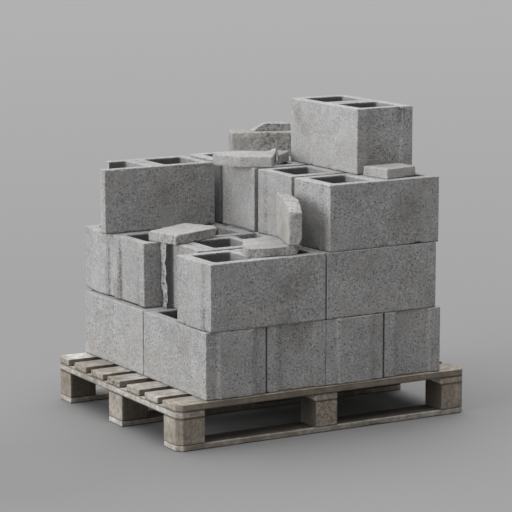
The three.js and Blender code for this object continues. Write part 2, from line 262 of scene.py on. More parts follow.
def half_path(side, depth):
    """Outline of half a block seen from above, straight runs from the middle of the front side
    round the end on that side (-1 left, 1 right) and back along the middle line; and which spans
    are that line. The end's middle stands out by depth, or lies back where depth is negative."""
    x, y = LENGTH / 2, WIDTH / 2
    step = y - MARGIN
    flat = step - SLOPE
    fine = stations(x, SIDE_GAP, False, True)
    margin = stations(MARGIN, 5, True, False)
    slope = stations(SLOPE, 3)
    runs = [
        along((0, -y), (x, -y), fine),
        along((x, -y), (x, -step), margin),
        along((x, -step), (x + depth, -flat), slope),
        along((x + depth, -flat), (x + depth, flat), stations(2 * flat, SIDE_GAP)),
        along((x + depth, flat), (x, step), slope),
        along((x, step), (x, y), MARGIN - margin[::-1]),
        along((x, y), (0, y), x - fine[::-1]),
    ]
    half = np.array(LINE)
    middle = np.stack([np.zeros(2 * len(half) + 1), np.r_[half, 0, -half[::-1]]], axis=1)[:-1]
    path = np.concatenate(runs + [middle])
    path[:, 0] *= side
    inner = np.arange(len(path)) >= len(path) - len(middle)
    return path, inner


def to_core(outer, h, low_x, high_x, half_y):
    """Nearest point of a core's rounded outline to each outer point, at height h from 0 to 1: the
    point held inside the core's corner centres, plus the corner radius towards the outer point."""
    lean = CORE_TAPER * (1 - h)
    low = np.stack([low_x - lean + CORE_ROUND, -half_y - lean + CORE_ROUND], -1)
    high = np.stack([high_x + lean - CORE_ROUND, half_y + lean - CORE_ROUND], -1)
    centre = np.clip(outer, low, high)
    away = outer - centre
    return centre + CORE_ROUND * away / np.linalg.norm(away, axis=-1, keepdims=True)


def wall_profile(equal_sides):
    """Closed profile of a block's wall as (t across, h up): up the outside, over the top, down the
    core's side and back along the bottom. Both sides have the same rows where equal_sides."""
    up = stations(HEIGHT, RISE_GAP, True, True) / HEIGHT
    top = np.array(TOP_ROWS)
    down = up[::-1] if equal_sides else np.array(CORE_ROWS)
    base = top[::-1] if equal_sides else np.array(BASE_ROWS)
    t = np.r_[0 * up, top[1:], 0 * down[1:] + 1, base[1:-1]]
    h = np.r_[up, 0 * top[1:] + 1, down[1:], 0 * base[1:-1]]
    return t, h


def wall(path, t, h, low_x, high_x):
    """P(s, row) = outer(s) + t (core(s) - outer(s)) at height h, for the profile's rows."""
    outer = np.repeat(path[:, None], len(t), axis=1)
    core = to_core(outer, h[None, :], low_x, high_x, WIDTH / 2 - SHELL)
    plan = outer + (core - outer) * t[None, :, None]
    z = np.broadcast_to(h * HEIGHT, plan.shape[:2])
    return np.concatenate([plan, z[..., None]], axis=2)


def half_wall(side, depth, equal_sides=False):
    """One half of a block: its wall carried right round the core, without the face that would lie
    on the block's middle line."""
    path, inner = half_path(side, depth)
    t, h = wall_profile(equal_sides)
    low, high = (CORE_NEAR, CORE_FAR) if side > 0 else (-CORE_FAR, -CORE_NEAR)
    points = wall(path, t, h, low, high)
    outside = (t == 0) & (np.roll(t, -1) == 0)
    keep = ~(inner[:, None] & outside[None, :])
    return points.reshape(-1, 3), sweep_faces(len(path), len(t), keep=keep)[:, ::side]


def join(parts):
    """Welds (points, faces) pairs into one."""
    bases = np.cumsum([0] + [len(p) for p, _ in parts[:-1]])
    faces = [f + base for (_, f), base in zip(parts, bases)]
    return weld(np.concatenate([p for p, _ in parts]), np.concatenate(faces))[:2]


def block_sides(p):
    """Distances inside a whole block's faces, with the normals there, in the order TOP, BOTTOM,
    END, SIDE, CORE."""
    x, y, z = p.T
    end = LENGTH / 2 - np.sign(x) * TONGUE * tongue(y)
    lean = CORE_TAPER * (1 - z / HEIGHT)
    middle = (CORE_NEAR + CORE_FAR) / 2
    half_x = (CORE_FAR - CORE_NEAR) / 2 + lean - CORE_ROUND
    half_y = WIDTH / 2 - SHELL + lean - CORE_ROUND
    off = np.abs(x) - middle
    qx, qy = np.abs(off) - half_x, np.abs(y) - half_y
    out = np.stack([np.clip(qx, 0, None), np.clip(qy, 0, None)], 1)
    reach = np.linalg.norm(out, axis=1)
    core = np.clip(reach - CORE_ROUND, 0, None)
    flat = out / np.maximum(reach, 1e-6)[:, None]
    none = 0 * x
    inward = np.stack([-np.sign(off) * np.sign(x) * flat[:, 0], -np.sign(y) * flat[:, 1], none], 1)
    return [
        (HEIGHT - z, UP),
        (z, -UP),
        (end - np.abs(x), np.stack([np.sign(x), none, none], 1)),
        (WIDTH / 2 - np.abs(y), np.stack([none, np.sign(y), none], 1)),
        (core, inward),
    ]


def finish_block(p, seed, low=1, under=3.0, snapped=None, quarter=False, facing=0.25,
                 bands=(0.2, 0.2)):
    """Wears and marks a block. P moves in across worn, chipped arrises, down in the split groove
    of the top, and by fine noise that is stronger where it is chipped or broken. low is how
    chipped its lower arrises are beside the rest, under how far they are worn away in mm and how
    tall the band of painted shadow along the base is, and snapped how broken each point is, from
    0 to 1. The core walls get painted shade, darkest on the walls along the pallet's X; quarter
    says that the block has its quarter turn, and facing how much painted shade the other core
    walls get. bands is how dark the two slopes of the ends are painted, partly dirt and partly
    painted shade, the one at lower y first; a third value is how much darker they are lower
    down. The split groove is darkened as well."""
    sides = block_sides(p)
    below_top, above_base = sides[TOP][0], sides[BOTTOM][0]
    snapped = np.zeros(len(p)) if snapped is None else snapped
    seeded = p + np.array([911.0, 577.0, 293.0]) * (seed + 1)
    edges = [
        (TOP, END, 1.6, 9, .32, seed + 1), (TOP, SIDE, 1.4, 8, .32, seed + 2),
        (BOTTOM, END, 1.6 + under, 12 * low, .25, seed + 3),
        (BOTTOM, SIDE, 1.6 + 0.3 * under, 11 * low, .25, seed + 4),
        (END, SIDE, 1.4, 8, .30, seed + 5),
        (TOP, CORE, 1.2, 5, .36, seed + 6), (BOTTOM, CORE, 1.6, 4, .4, seed + 8),
    ]
    move, depth = wear_down(seeded, sides, edges)
    x, y, z = p.T
    on_top = below_top < 0.01
    groove = np.clip((SPLIT_WIDE / 2 - np.abs(x)) / (SPLIT_WIDE / 4), 0, 1)
    groove *= 1 - step_between(SPLIT_REACH - 1.5, SPLIT_REACH + 1.5, np.abs(y)) * on_top
    groove *= on_top & (np.abs(y) < SPLIT_REACH + 2)
    new = p + move * (1 - snapped)[:, None]
    new[:, 2] -= groove * SPLIT_DEEP
    cut = np.clip(depth / 3, 0, 1) * (1 - snapped)
    new += rough_vector(seeded, 5, seed + 11) * (0.12 + 0.55 * cut + 1.3 * snapped)[:, None]
    new += rough_vector(seeded, 13, seed + 12) * (0.18 + 0.5 * cut + 2.2 * snapped)[:, None]
    new[:, 2] = np.clip(new[:, 2], 0.05, HEIGHT)

    # dirt and painted shade on the slopes of the ends, darker lower down
    slope_middle = WIDTH / 2 - MARGIN - SLOPE / 2
    band = np.abs(np.abs(y) - slope_middle) / SLOPE
    front_band, back_band, *lower = bands
    lower = lower[0] if lower else 0.9
    ends = (sides[END][0] < 0.5) & (below_top > 1) & (above_base > 1)
    grime_and_shade = np.clip(1.25 - band, 0, 1) * ends
    patchy = 0.25 + 0.9 * rough(seeded, 60, seed + 15) + 0.5 * rough(seeded, 9, seed + 16)
    grime_and_shade *= np.clip(patchy + lower * (0.6 - z / HEIGHT), 0, 1)
    grime_and_shade *= np.where(y < 0, front_band, back_band)
    # painted shadow in the crack along the base of the outer faces, broken by noise
    shadow_along_base = step_between(5 + under, 1.5, above_base) * (sides[CORE][0] > 2)
    shadow_along_base *= np.clip(0.7 + 0.8 * rough(seeded, 30, seed + 18), 0, 1)
    grime_and_shade = np.maximum(grime_and_shade, shadow_along_base)
    # painted shade on the core walls below the top rim, darkest on the walls along the pallet's X
    crosswise = step_between(0.3, 0.7, np.abs(sides[CORE][1][:, 0 if quarter else 1]))
    inside = (sides[CORE][0] < 0.6) * step_between(-2, 7, below_top)
    inside *= facing + (1 - facing) * crosswise
    return new, {"wear": np.clip(cut + 0.9 * snapped, 0, 1), "dirt_and_shade": np.clip(grime_and_shade + groove, 0, 1),
                 "inside": inside, "snapped": snapped}


def whole_block():
    """A block with its tongue at the left end and its groove at the right."""
    return join([half_wall(-1, TONGUE), half_wall(1, -TONGUE)])


def snapped_block(front, rear, wander, lean, seed):
    """A block with its left end broken off: its right half, and a wall from the end of the front
    shell, front mm left of the middle, along the middle line to the end of the rear shell, rear mm
    left of it. A flat grid closes each end. Near an end P moves along X by its wander times noise,
    and by the lean; an end with no wander is moulded. Returns how broken each point is as well."""
    y = WIDTH / 2
    far = -400.0  # beyond the lost end, so that the left core has no far wall
    path, inner = half_path(-1, TONGUE)
    line = np.unique(np.r_[path[inner][:, 1], -y])
    open_path = np.concatenate([
        along((-front, -y), (0, -y), stations(front, SIDE_GAP, True, False)),
        np.stack([0 * line, line], 1)[:-1],
        along((0, y), (-rear, y), stations(rear, SIDE_GAP, False, True)), [[-rear, y]],
    ])
    on_line = (open_path[:, 0] == 0) & (open_path[:, 1] < y)
    t, h = wall_profile(True)
    strip = wall(open_path, t, h, far, -CORE_NEAR)
    outside = (t == 0) & (np.roll(t, -1) == 0)
    keep = ~(on_line[:-1, None] & outside[None, :])
    faces = sweep_faces(len(open_path), len(t), close_path=False, keep=keep)
    parts = [half_wall(1, -TONGUE, True), (strip.reshape(-1, 3), faces)]
    tt, hh = np.meshgrid(np.unique(t), np.unique(h), indexing="ij")
    number = np.arange(tt.size).reshape(tt.shape)
    for place, way in ((0, 1), (-1, -1)):
        cap = wall(open_path[[place]], tt.reshape(-1), hh.reshape(-1), far, -CORE_NEAR)
        parts.append((cap.reshape(-1, 3), grid_faces(number)[:, ::way]))
    points, faces = join(parts)
    x, y, z = points.T
    snapped = np.zeros(len(points))
    for reach, side, amount in ((front, -1, wander[0]), (rear, 1, wander[1])):
        close = step_between(reach - 16, reach - 3, -x) * (y * side > 0)
        face = points * (0, 1, 1)
        ragged = 1.3 * rough(face, 46, seed + side) + 0.9 * rough(face, 11, seed + 5, 3)
        points[:, 0] += close * (amount * (0.5 + ragged) + lean * (0.5 - z / HEIGHT))
        snapped = np.maximum(snapped, close * (amount > 0))
    return points, faces, snapped


def leave_rib(points, snapped):
    """Leaves a rib of the lost end wall on the front shell's inner side: P moves along Y by a few
    millimetres plus noise, over the strip where the wall stood."""
    x, y, _ = points.T
    rib = step_between(-150, -178, x) * step_between(-90, -71, y) * (y < 0)
    points[:, 1] += rib * (2.5 + 5 * rough(points, 20, 83, 3))
    return np.maximum(snapped, rib)


# ---- materials ----
def new_node(tree, kind, **settings):
    made = tree.nodes.new("ShaderNode" + kind)
    for key, value in settings.items():
        setattr(made, key, value)
    return made


def set_inputs(made, ins):
    """Gives a node's inputs, by name or number, each a value or another node's output."""
    for key, value in ins.items():
        if isinstance(value, bpy.types.NodeSocket):
            made.id_data.links.new(value, made.inputs[key])
        else:
            made.inputs[key].default_value = value
    return made


def node(kind, ins, **settings):
    """Adds a node to the tree that the outputs among its inputs belong to."""
    tree = next(v.id_data for v in ins.values() if isinstance(v, bpy.types.NodeSocket))
    return set_inputs(new_node(tree, kind, **settings), ins)


def math_node(operation, a, b):
    return node("Math", {0: a, 1: b}, operation=operation).outputs[0]


def add(a, b):
    return math_node("ADD", a, b)


def share(mask, amount):
    return math_node("MULTIPLY", mask, amount)


def shifted(vector, by):
    return node("VectorMath", {0: vector, 1: by}, operation="ADD").outputs[0]


def ramp(value, low, high, to_low=0.0, to_high=1.0):
    return node("MapRange", {0: value, 1: low, 2: high, 3: to_low, 4: to_high}).outputs[0]


def mix(factor, a, b, blend="MIX", clamp=True):
    """Colour a, or b where factor is 1; without clamp, factor may pass 0 and 1."""
    return node("Mix", {0: factor, 6: a, 7: b}, data_type="RGBA", blend_type=blend,
                clamp_factor=clamp).outputs[2]


def times(colour, by):
    return mix(1.0, colour, by, "MULTIPLY")


def noise_node(vector, scale, detail=2.0, roughness=0.5):
    return node("TexNoise", {"Vector": vector, "Scale": scale, "Detail": detail,
                             "Roughness": roughness}).outputs["Fac"]


def dots(vector, scale, fade, few):
    """A mask of round dots: fade gives how far from its middle a dot starts and ends to fade, and
    few the range of a cell's own random value over which it comes to hold one."""
    cell = node("TexVoronoi", {"Vector": vector, "Scale": scale}).outputs
    own = node("SeparateColor", {0: cell["Color"]}).outputs[0]
    return share(ramp(cell["Distance"], *fade, 1, 0), ramp(own, *few))


def make_group(name, build, *numbers):
    """A shader node group with the input Vector and the named number inputs; build(inputs)
    returns its outputs, which are numbers, by name."""
    tree = bpy.data.node_groups.new(name, "ShaderNodeTree")
    for label in ("Vector", *numbers):
        kind = "NodeSocketFloat" if label in numbers else "NodeSocketVector"
        tree.interface.new_socket(label, in_out="INPUT", socket_type=kind)
    start, end = tree.nodes.new("NodeGroupInput"), tree.nodes.new("NodeGroupOutput")
    for label, socket in build(start.outputs).items():
        tree.interface.new_socket(label, in_out="OUTPUT", socket_type="NodeSocketFloat")
        tree.links.new(socket, end.inputs[label])
    return tree


def use_group(group, vector, **numbers):
    return node("Group", {"Vector": vector, **numbers}, node_tree=group).outputs


def build_grain(ins):
    """Sand and stone: uneven tone, light grains, dark open pores and height, and the pits and
    crumbs of a broken face."""
    v = ins["Vector"]
    sand = noise_node(v, 165.0, 3.0, 0.72)
    fine = noise_node(v, 420.0, 2.0, 0.6)
    light = dots(v, 150.0, (0.12, 0.36), (0.55, 0.75))
    pores = dots(shifted(v, (1.3, 2.1, .7)), 120.0, (0.10, 0.38), (0.50, 0.72))
    raised = add(share(fine, 0.35), share(sand, 0.5))
    height = math_node("SUBTRACT", raised, share(pores, 0.9))
    coarse = noise_node(v, 105.0, 2.0, 0.8)
    return {"Sand": ramp(sand, 0.33, 0.67), "Light": light, "Pores": pores, "Height": height,
            "Pits": ramp(coarse, 0.47, 0.40), "Crumbs": ramp(coarse, 0.53, 0.60)}


def build_cloud(ins):
    """Broad uneven tone, from noise at three sizes, and a mask of patchy stain."""
    v = ins["Vector"]
    broad, blotch, spots = (noise_node(v, scale, 3.0, 0.55) for scale in (7.0, 24.0, 70.0))
    patch = noise_node(shifted(v, (3.7, 1.9, 5.3)), 9.0, 3.0, 0.6)
    tone = add(share(broad, 0.35), share(blotch, 0.35))
    tone = add(tone, share(spots, 0.3))
    return {"Tone": ramp(tone, 0.40, 0.60, -1.0, 1.0), "Stain": ramp(patch, 0.52, 0.70)}


def build_edge(ins):
    """Worn-edge mask: the wear attribute broken up by fine noise."""
    wobble = noise_node(ins["Vector"], 260.0, 2.0, 0.6)
    wobble = share(math_node("SUBTRACT", wobble, 0.5), 0.9)
    return {"Mask": ramp(add(ins["Wear"], wobble), 0.25, 0.75)}


GRAIN = make_group("grain", build_grain)
CLOUD = make_group("cloud", build_cloud)
EDGE = make_group("edge", build_edge, "Wear")


def new_material(name):
    material = bpy.data.materials.new(name)
    material.use_nodes = True
    tree = material.node_tree
    place = new_node(tree, "TexCoord").outputs["Object"]
    return material, tree, tree.nodes["Principled BSDF"], place


def attribute(tree, name):
    return new_node(tree, "Attribute", attribute_name=name).outputs["Fac"]


def grey(value, warm=0.0):
    """A grey, or a browner one where warm is above 0."""
    return (value * (1 + warm), value, value * (1 - 1.4 * warm), 1.0)


def lay_over(colour, layers):
    """Lays each (mask, strength, colour) over the colour so far."""
    for mask, strength, over in layers:
        colour = mix(share(mask, strength), colour, over)
    return colour


def coat(shader, colour, roughness, specular, height, strength, depth):
    """Gives a material's surface its colour, its gloss and its relief, depth deep in metres."""
    bump = node("Bump", {"Strength": strength, "Distance": depth, "Height": height})
    set_inputs(shader, {"Base Color": colour, "Roughness": roughness,
                        "Specular IOR Level": specular, "Normal": bump.outputs[0]})


SMEAR_AND_SHADE_TINT = (0.80, 0.765, 0.725, 1)  # what a brown smear, and a patch of painted shade, multiplies concrete by


def concrete(name, base, warm, stain_strength, contrast, pale=0.0):
    """Cement grey with sand grain, open pores, patchy stain, pale worn arrises, brown smears with a
    few patches of painted shade, dirt and painted shade on the ends' slopes, darkening in the split
    groove, painted shadow along the base, painted shade in the cores, and the dark pits and pale
    crumbs of broken faces. On the sides facing along Y the grain is bolder and broken faces darker,
    painted light and shade; pale lightens those sides, painted light."""
    def shade(value, warmer=1):
        return grey(base * value, warm * warmer)

    material, tree, shader, place = new_material(name)
    tone, snapped, facing = (attribute(tree, key) for key in ("tone", "snapped", "facing"))
    moved = shifted(place, node("CombineXYZ", {0: tone}).outputs[0])
    grain = use_group(GRAIN, moved)
    cloud = use_group(CLOUD, moved)
    edge = use_group(EDGE, place, Wear=attribute(tree, "wear"))
    calm = ramp(noise_node(moved, 13.0), 0.36, 0.6, 0.65, 1.25)
    # the grain's specks and pores are bolder on the sides facing along Y: painted light and shade
    # of the pits
    bold = share(ramp(facing, 0, 1, 0.58, 1.0), calm)
    level = ramp(add(cloud["Tone"], share(tone, 0.7)), -1.0, 1.7)
    colour = mix(level, shade(0.84), shade(1.16, 0.5))
    stain = (base * .97, base * .87, base * .79, 1)
    colour = lay_over(colour, [(cloud["Stain"], stain_strength, stain)])
    sand = mix(grain["Sand"], grey(1 - 0.34 * contrast), grey(1 + 0.30 * contrast))
    colour = mix(bold, colour, times(colour, sand))
    colour = lay_over(colour, [
        (share(grain["Light"], bold), 0.55 * contrast, grey(min(0.8, base * 1.9), warm)),
        (share(grain["Pores"], bold), 0.75 * contrast, shade(0.30)),
    ])
    # pale: painted light on the sides facing along Y
    if pale:
        colour = lay_over(colour, [(facing, pale, shade(1.6))])
    # brown smears, and a few patches of painted shade
    colour = mix(attribute(tree, "smear"), colour, times(colour, SMEAR_AND_SHADE_TINT))
    specks = ramp(noise_node(place, 120.0), 0.3, 0.55)
    colour = lay_over(colour, [
        (edge["Mask"], 0.42, shade(1.45)),
        # broken faces facing along Y darkened: painted shade
        (share(facing, snapped), 0.45, shade(0.55, 2)),
        (share(grain["Crumbs"], snapped), 0.4, shade(1.5, 2)),
        (share(grain["Pits"], snapped), 0.8, shade(0.24, 2)),
        # dirt and painted shade on the ends' slopes, darkening in the split groove, painted shadow
        # along the base
        (share(attribute(tree, "dirt_and_shade"), specks), 0.85, (base * .30, base * .265, base * .22, 1)),
        # painted shade in the cores
        (attribute(tree, "inside"), 0.84, shade(0.24)),
    ])
    coat(shader, colour, ramp(grain["Light"], 0, 1, 0.97, 0.86), 0.25, grain["Height"],
         strength=1.0, depth=0.0022)
    return material


CONCRETE = concrete("concrete_block", 0.369, warm=0.002, stain_strength=0.4, contrast=1.16)
CONCRETE_BROKEN = concrete("concrete_broken", 0.345, warm=0.016, stain_strength=0.6, contrast=0.8,
                           pale=0.5)


def build_wood(ins):
    """Weathered grain in a vector whose X runs along it: streaks, dark open grain, the speckle of
    cut ends and chip blocks, and height."""
    v = node("Mapping", {"Vector": ins["Vector"], "Scale": (0.06, 1, 1)}).outputs[0]
    bend = node("TexNoise", {"Vector": ins["Vector"], "Scale": 5.0, "Detail": 1.0})
    bend = node("VectorMath", {0: bend.outputs["Color"], 1: (0, .012, .012)}, operation="MULTIPLY")
    v = shifted(v, bend.outputs[0])
    streak = noise_node(v, 90.0, 3.0, 0.65)
    fine = noise_node(v, 420.0, 2.0, 0.7)
    speckle = noise_node(ins["Vector"], 95.0, 2.0, 0.8)
    dark = share(ramp(fine, 0.52, 0.68), ramp(streak, 0.38, 0.6))
    height = add(share(streak, 0.5), share(fine, 0.5))
    return {"Streak": ramp(streak, 0.3, 0.7), "Dark": dark,
            "Speckle": ramp(speckle, 0.38, 0.62), "Height": height}


WOOD_GRAIN = make_group("wood_grain", build_wood)

# colours of weathered softwood, and of the painted shade on it
BROWN = (0.288, 0.259, 0.218, 1)
SILVER = (0.456, 0.446, 0.424, 1)
SHADED_SIDE_BROWN = (0.250, 0.195, 0.142, 1)  # painted shade on the sides that face along Y, such as the pallet's long sides
DULL = (0.215, 0.185, 0.155, 1)
STAIN = (0.215, 0.190, 0.150, 1)
SMEAR_AND_SHADE_BROWN = (0.175, 0.150, 0.115, 1)
OPEN_GRAIN = (0.11, 0.09, 0.068, 1)
CUT_END = (0.095, 0.070, 0.050, 1), (0.45, 0.40, 0.34, 1)
WORN_EDGE = (0.44, 0.42, 0.38, 1)
# painted shade under the deck, in its gaps and in the seams
PAINTED_SHADE_DARK = (0.055, 0.045, 0.034, 1)


def wood(name, turn):
    """Weathered softwood with its grain along the piece: brown to silver by its tone, with stains,
    brown smears, speckled cut ends and pale worn edges, and painted shade: darker brown sides
    facing along Y, a painted shadow along the front board's top, black seams and dark sides under
    the deck."""
    material, tree, shader, place = new_material(name)
    tone = attribute(tree, "tone")
    offset = node("CombineXYZ", {0: tone, 1: share(tone, 3.3), 2: share(tone, 7.1)})
    moved = shifted(place, offset.outputs[0])
    lined = node("Mapping", {"Vector": moved, "Rotation": turn}).outputs[0]
    grain = use_group(WOOD_GRAIN, lined)
    cloud = use_group(CLOUD, moved)
    edge = use_group(EDGE, place, Wear=attribute(tree, "wear"))
    colour = mix(tone, BROWN, SILVER, clamp=False)
    # sides facing along Y painted darker brown: painted shade
    colour = lay_over(colour, [(attribute(tree, "facing"), 0.5, SHADED_SIDE_BROWN)])
    colour = times(colour, mix(grain["Streak"], grey(0.83, 0.02), grey(1.17)))
    blotch = ramp(noise_node(moved, 46.0, 3.0, 0.65), 0.40, 0.60)
    colour = times(colour, mix(blotch, grey(0.84, 0.03), grey(1.30)))
    colour = mix(ramp(cloud["Tone"], -0.9, 0.8, 0.5, 0.0), colour, DULL)
    colour = lay_over(colour, [
        (cloud["Stain"], 0.6, STAIN),
        # brown smears, and a painted shadow along the top of the front board
        (attribute(tree, "smear"), 0.8, SMEAR_AND_SHADE_BROWN),
        (grain["Dark"], 0.8, OPEN_GRAIN),
        (attribute(tree, "end"), 0.8, mix(grain["Speckle"], *CUT_END)),
        (edge["Mask"], 0.26, WORN_EDGE),
        # painted shade under the deck, in its gaps and in the seams
        (attribute(tree, "inside"), 0.9, PAINTED_SHADE_DARK),
    ])
    coat(shader, colour, ramp(grain["Streak"], 0, 1, 0.9, 0.78), 0.3, grain["Height"],
         strength=0.5, depth=0.0012)
    return material


WOOD_X = wood("wood_along_x", (0, 0, 0))
WOOD_Y = wood("wood_along_y", (0, 0, math.pi / 2))
WOOD_Z = wood("wood_upright", (0, math.pi / 2, 0))


# ---- the load ----
def placed(p, course, x, y, turn=0.0, flipped=False, quarter=False):
    """A block's own points put down by its front left corner: flipped end for end, given a quarter
    turn and then a turn in degrees."""
    q = p.copy()
    if flipped:
        q[:, :2] *= -1
    if quarter:
        q = np.stack([-q[:, 1], q[:, 0], q[:, 2]], 1) + (WIDTH / 2, LENGTH / 2, 0)
    else:
        q = q + (LENGTH / 2, WIDTH / 2, 0)
    c, s = math.cos(math.radians(turn)), math.sin(math.radians(turn))
    q = np.stack([c * q[:, 0] - s * q[:, 1], s * q[:, 0] + c * q[:, 1], q[:, 2]], 1)
    return q + (x, y, PALLET_TOP + SEAT + (course - 1) * PITCH)


# name: course, x, y, turn, whether it is flipped, and has a quarter turn
BLOCKS = {
    f"course1_{row}_{column + 1}": (1, x, y, turn, column % 2 == 1, True)
    for row, y, turn in (("front", -388, 0), ("back", 7, .6))
    for column, x in enumerate((-402, -196, 5, 212))
}
BLOCKS.update({
    "course2_front_left": (2, -389, -395, .8),
    "course2_front_right": (2, 6, -390, .8),
    "course2_second_right": (2, 6, -172, 0),
    "course2_third_left": (2, -384, 31, 1.3, True),
    "course2_third_right": (2, 18, 37, 0, True),
    "course2_back_left": (2, -379, 234, 1),
    "course2_back_right": (2, 15, 243, 0),
    "course3_front": (3, 16, -388, 1),
    "course3_second": (3, 16, -165, 0, True),
    "course3_third": (3, 16, 58, .8, True),
    "course3_back_right": (3, 10, 264, 0),
    "course4_top": (4, 201.6, -241, 0, True, True),
})
# the two blocks with a broken end: its shape, how it is put down, seed, tone, how broken it looks
BROKEN = {
    "course2_second_left_half": ((45, 57, (6, 4), 6, 71), (2, -464, -172), 3000, -0.9, 1),
    "course3_back_left_broken": ((LENGTH / 2, 95, (0, 8), 0, 81), (3, -409, 239, 1), 3100,
                                 0.1, 0.15),
}
# how pale a block is, from about 0 to 1, where it isn't given in turn
BLOCK_TONES = {"course1_front_3": 0.1, "course2_third_left": 0, "course3_third": 1.1,
               "course4_top": 0.9, "course3_front": 0.3}
# blocks whose lower arris is worn away where it shows, with a taller band of painted shadow along
# the base
WORN_UNDER = ("course2_third_left", "course2_back_left")
# how dark the slopes of a block's ends are painted, partly dirt and partly painted shade, as
# finish_block takes it, in the block's own frame
BANDS = {
    "course1_front_1": (0.6, 0.35), "course1_front_2": (0.45, 0.65),
    "course1_front_3": (0.6, 0.45), "course1_front_4": (0.4, 0.5),
    "course2_front_left": (1.0, 0.1), "course2_third_left": (1.0, 1.0),
    "course2_back_left": (1.0, 0.2), "course3_front": (0.55, 0.1),
    "course3_second": (0.7, 0.1), "course3_third": (0.1, 0.1), "course4_top": (0.2, 1.8, -2.2),
}
# brown smears on blocks and wood, and a few patches of painted shade: (x, y, z, reach, strength) in
# mm in the pallet's frame
SMEARS_AND_SHADE = {
    "course4_top": [(202, 100, 885, 42, .8), (202, 75, 850, 30, .5), (202, -58, 835, 45, .35),
        (300, -241, 800, 40, .6), (358, -241, 893, 22, .5)],
    # the entry at x 16 is a painted shadow of the upright on this block's left end
    "course3_front": [(300, -388, 630, 70, 1.0), (275, -388, 580, 50, .7), (16, -350, 590, 60, .9)],
    "course3_back_left_broken": [(-200, 239, 640, 70, .7), (-112, 239, 712, 60, .7),
        (-100, 239, 600, 60, .5)],
    "course2_front_left": [(-115, -395, 433, 60, .9), (-84, -395, 472, 50, .6),
        (-142, -395, 365, 40, .6)],
    "course2_front_right": [(148, -390, 495, 70, .6), (305, -390, 460, 60, .6),
        (370, -390, 370, 45, .5), (70, -390, 365, 50, .5)],
    "course1_front_2": [(-93, -388, 295, 50, .9)],
    "course1_front_4": [(302, -388, 305, 55, .7)],
    "course1_front_1": [(-222, -388, 165, 40, .5), (-402, -244, 262, 60, .35),
        (-402, -200, 292, 40, .3)],
    "course1_front_3": [(177, -388, 185, 35, .6)],
    "course1_back_1": [(-402, 214, 226, 70, .15), (-402, 124, 282, 50, .1)],
    "course2_third_left": [(-384, 212, 370, 42, .9), (-384, 122, 490, 40, .3)],
    "piece_flat_front": [(-90, -240, 563, 75, .5)],
    "piece_rough_back": [(160, 290, 750, 230, .7)],
    # the second entry is painted shade low on the upright's left face
    "piece_upright": [(-75, -385, 600, 60, .5), (-90, -280, 585, 75, 1.0)],
    "stringer_left": [(-500, 171, 106, 70, 1.0), (-500, 60, 106, 45, .7), (-500, 345, 106, 22, .2)],
    "deck_board_4": [(-495, 20, 125, 60, 1.0)],
    "deck_board_7": [(-500, 370, 128, 30, .6)],
    "deck_board_2": [(-470, -230, 137, 45, .5)],
    "deck_board_5": [(-440, 130, 137, 40, .5)],
    "foot_back_left": [(-500, 340, 60, 70, .8)],
    "foot_middle_left": [(-500, 40, 70, 35, .25)],
    "foot_front_left": [(-440, -400, 50, 55, .6), (-500, -330, 40, 40, .6),
        (-483, -400, 85, 30, .7), (-500, -370, 30, 25, .6), (-492, -392, 60, 30, .7)],
    "foot_front_middle": [(30, -400, 40, 35, .6), (60, -400, 90, 30, .5)],
    "foot_front_right": [(420, -400, 60, 45, .6), (470, -400, 30, 35, .5)],
    "runner_front": [(-420, -400, 10, 60, .8), (-250, -400, 10, 70, .6), (120, -400, 10, 90, .6)],
    # along the top of the front board's face: stains and painted shadow under the blocks
    "deck_board_1": [(-335, -400, 130, 60, 1.0), (-215, -400, 137, 35, .9),
        (-120, -400, 125, 50, 1.0), (-20, -400, 137, 30, .8), (60, -400, 130, 45, .8),
        (180, -400, 120, 40, .5), (300, -400, 130, 60, .5), (420, -400, 125, 50, .5)],
}


def smear(name, points):
    """How smeared each point is, with brown stain and on a few spots painted shade: a soft ball
    round each of the piece's smears, broken by noise.
    """
    total = np.zeros(len(points))
    for *middle, reach, strength in SMEARS_AND_SHADE.get(name, []):
        away = np.linalg.norm(points - middle, axis=1)
        total = np.maximum(total, strength * step_between(reach * 1.3, reach * 0.1, away))
    return np.clip(total * (0.85 + 0.9 * rough(points, 34, 5, 3)), 0, 1)


def add_block(name, shape, faces, marks, tone, how):
    shape = placed(shape, *how)
    marks.update(tone=tone, smear=smear(name, shape))
    make_piece(name, shape, faces, CONCRETE, marks)


def add_blocks():
    points, faces = whole_block()
    for number, (name, how) in enumerate(BLOCKS.items()):
        under, low = (4.0, 1.7) if name in WORN_UNDER else (0.6, 1)
        if name.startswith("course1"):
            low = 0.4
        shape, marks = finish_block(points, 40 * (number + 1), low, under, quarter=len(how) > 5,
                                    bands=BANDS.get(name, (0.2, 0.2)))
        add_block(name, shape, faces, marks, BLOCK_TONES.get(name, (number * 0.382) % 1), how)
    for name, (broken, how, seed, tone, strength) in BROKEN.items():
        points, faces, snapped = snapped_block(*broken)
        if name == "course3_back_left_broken":
            snapped = leave_rib(points, snapped)
        shape, marks = finish_block(points, seed, snapped=snapped, facing=0.12)
        marks["snapped"] = snapped * strength
        add_block(name, shape, faces, marks, tone, how)


add_blocks()


# ---- loose pieces ----
def densify(outline, gap):
    """The closed outline with points at most gap apart."""
    pts = np.array(outline, float)
    return np.concatenate([along(a, b, stations(np.linalg.norm(b - a), gap))
                           for a, b in zip(pts, np.roll(pts, -1, 0))])


